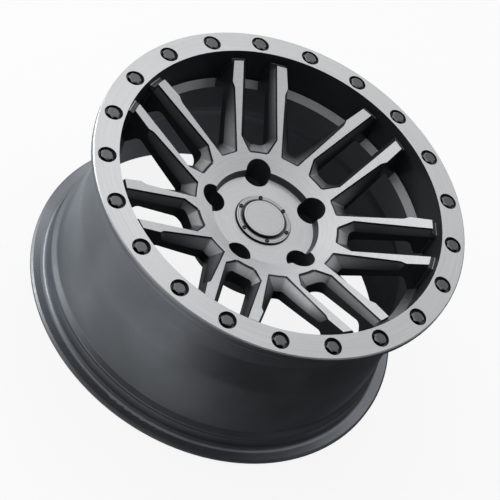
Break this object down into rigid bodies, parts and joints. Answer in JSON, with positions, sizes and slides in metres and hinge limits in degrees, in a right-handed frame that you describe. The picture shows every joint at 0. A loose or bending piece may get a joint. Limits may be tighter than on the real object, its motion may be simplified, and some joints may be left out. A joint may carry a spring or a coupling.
{
  "type": "alloy wheel",
  "caption": "Cast alloy off-road road wheel with split spokes, a bolted front ring, lug holes in a recessed hub and a push-in centre cap.",
  "frame": {"origin": "centre of the hub's mounting pad, on the wheel's axis", "axes": "+Z along the wheel's axis to the street side, so the wheel lies on its back flange; +Y towards the middle of one spoke pair, where a lug hole and a ring bolt also lie"},
  "size_m": [0.497, 0.4969, 0.2503],
  "materials": {
    "cast_alloy": "satin gunmetal with a brushed front face",
    "black_steel": "black coating, satin",
    "cap_plastic": "satin grey moulding",
    "cap_face": "brushed-look grey",
    "spring_steel": "bright wire"
  },
  "bodies": {
    "root": {"wheel": "cast_alloy", "ring_bolts": "black_steel", "cap_body": "cap_plastic", "cap_disc": "cap_face", "cap_screws": "black_steel", "cap_spring": "spring_steel"}
  },
  "joints": []
}
